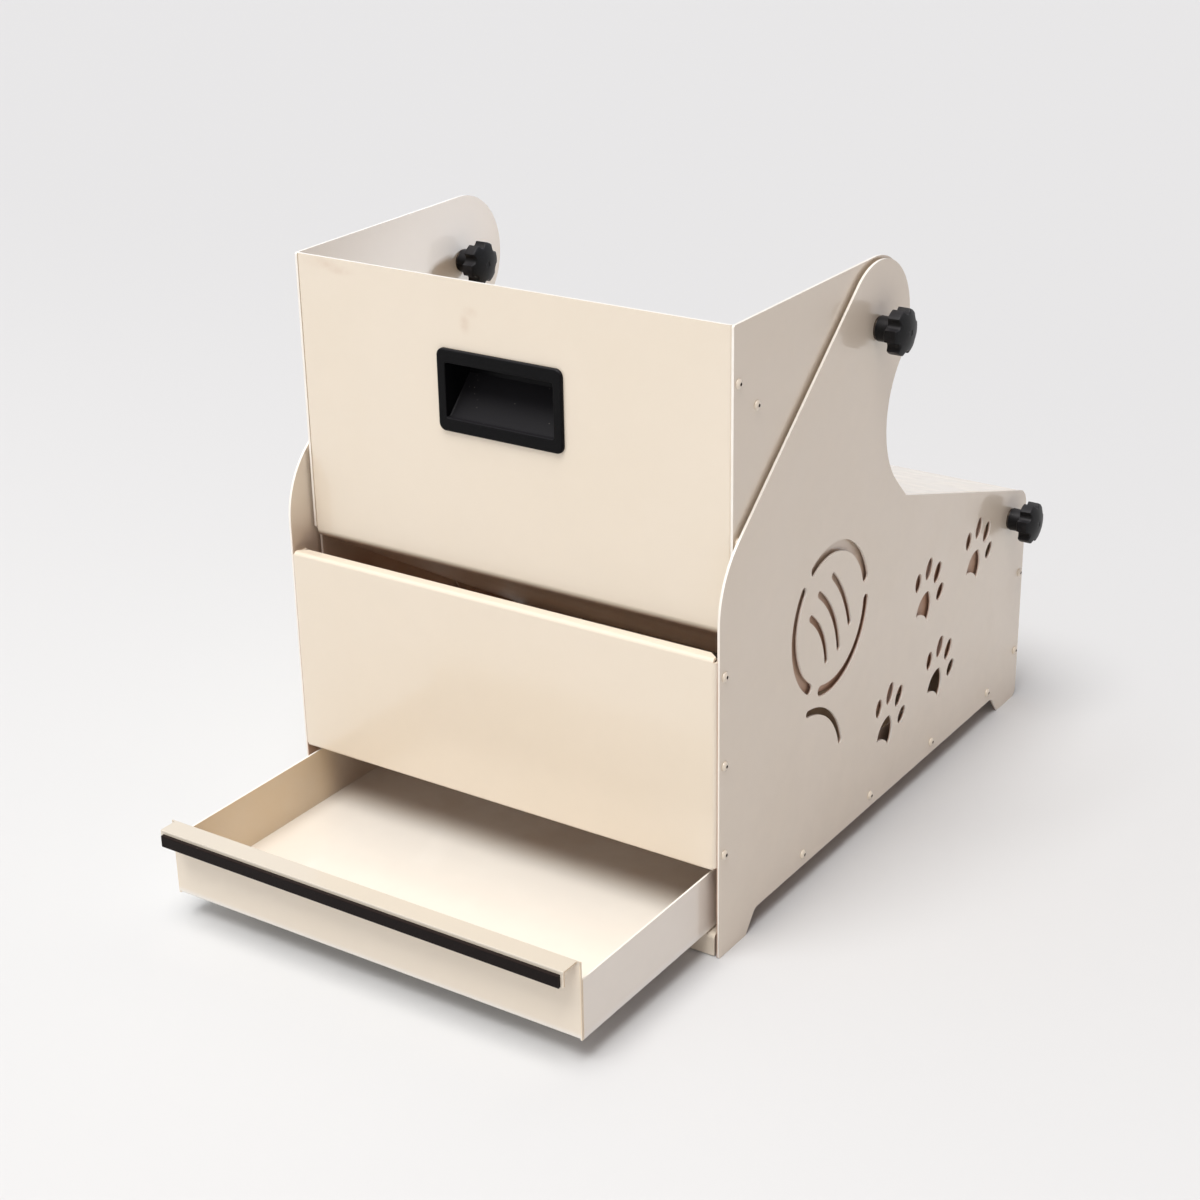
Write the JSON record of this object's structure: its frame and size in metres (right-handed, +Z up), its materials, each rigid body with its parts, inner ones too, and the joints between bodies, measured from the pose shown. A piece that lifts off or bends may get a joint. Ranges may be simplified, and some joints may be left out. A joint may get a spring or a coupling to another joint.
{
  "type": "drawer litter box",
  "caption": "Sheet-metal pet litter box with a tilting litter bucket on clamped pivots, a hinged sloping entry deck and a pull-out waste drawer.",
  "frame": {"origin": "on the floor, under the middle of the outline with the drawer part open", "axes": "+Z up, front and drawer towards -Y, +X to the right seen from the front"},
  "size_m": [0.455, 0.726, 0.4885],
  "materials": {
    "cream_powder_coat": "glossy cream powder coat",
    "plated_steel": "zinc plated",
    "stainless_steel": "brushed",
    "nylon": "natural nylon",
    "black_plastic": "fine grain black",
    "brass_insert": "turned",
    "black_rubber": "matt",
    "clear_bumper": "clear soft plastic"
  },
  "bodies": {
    "housing": {"left_side_panel": "cream_powder_coat", "right_side_panel": "cream_powder_coat", "lower_front_panel": "cream_powder_coat", "base_plate": "cream_powder_coat", "rear_panel": "cream_powder_coat", "housing_screws": "cream_powder_coat", "housing_nuts": "plated_steel", "left_pivot_bolt": "plated_steel", "knob_washers": "plated_steel", "pivot_spacers": "nylon", "deck_spacers": "nylon"},
    "bucket": {"right_bucket_wing": "cream_powder_coat", "left_bucket_wing": "cream_powder_coat", "bucket_front_sheet": "cream_powder_coat", "bucket_rear_sheet": "cream_powder_coat", "sieve_plate": "stainless_steel", "bucket_screws": "cream_powder_coat", "bucket_nuts": "plated_steel", "pull_cup": "black_plastic", "right_pivot_bolt": "plated_steel", "left_pivot_washer": "plated_steel"},
    "deck": {"entry_deck": "cream_powder_coat", "right_deck_bolt": "plated_steel", "left_deck_bolt": "plated_steel"},
    "drawer": {"drawer_pan": "cream_powder_coat", "grip_strip": "black_rubber", "drawer_bumpers": "clear_bumper"},
    "right_pivot_clamp": {"right_pivot_knob": "black_plastic", "right_pivot_knob_insert": "brass_insert"},
    "left_pivot_clamp": {"left_pivot_knob": "black_plastic", "left_pivot_knob_insert": "brass_insert"},
    "right_deck_clamp": {"right_deck_knob": "black_plastic", "right_deck_knob_insert": "brass_insert"},
    "left_deck_clamp": {"left_deck_knob": "black_plastic", "left_deck_knob_insert": "brass_insert"}
  },
  "joints": [
    {"name": "bucket_tilt", "type": "hinge", "parent": "housing", "child": "bucket", "pos_m": [0, 0.058, 0.434], "axis": [-1, 0, 0], "range_deg": [0, 40]},
    {"name": "deck_lift", "type": "hinge", "parent": "housing", "child": "deck", "pos_m": [0, 0.3297, 0.1875], "axis": [-1, 0, 0], "range_deg": [0, 60]},
    {"name": "drawer_slide", "type": "slide", "parent": "housing", "child": "drawer", "axis": [0, -1, 0], "range_m": [-0.165, 0.075]},
    {"name": "right_pivot_turn", "type": "hinge", "parent": "housing", "child": "right_pivot_clamp", "pos_m": [0.215, 0.058, 0.434], "axis": [1, 0, 0], "range_deg": [0, 360]},
    {"name": "left_pivot_turn", "type": "hinge", "parent": "bucket", "child": "left_pivot_clamp", "pos_m": [-0.18, 0.058, 0.434], "axis": [1, 0, 0], "range_deg": [0, 360]},
    {"name": "right_deck_turn", "type": "hinge", "parent": "housing", "child": "right_deck_clamp", "pos_m": [0.215, 0.3297, 0.1875], "axis": [1, 0, 0], "range_deg": [0, 360]},
    {"name": "left_deck_turn", "type": "hinge", "parent": "housing", "child": "left_deck_clamp", "pos_m": [-0.215, 0.3297, 0.1875], "axis": [-1, 0, 0], "range_deg": [0, 360]}
  ]
}
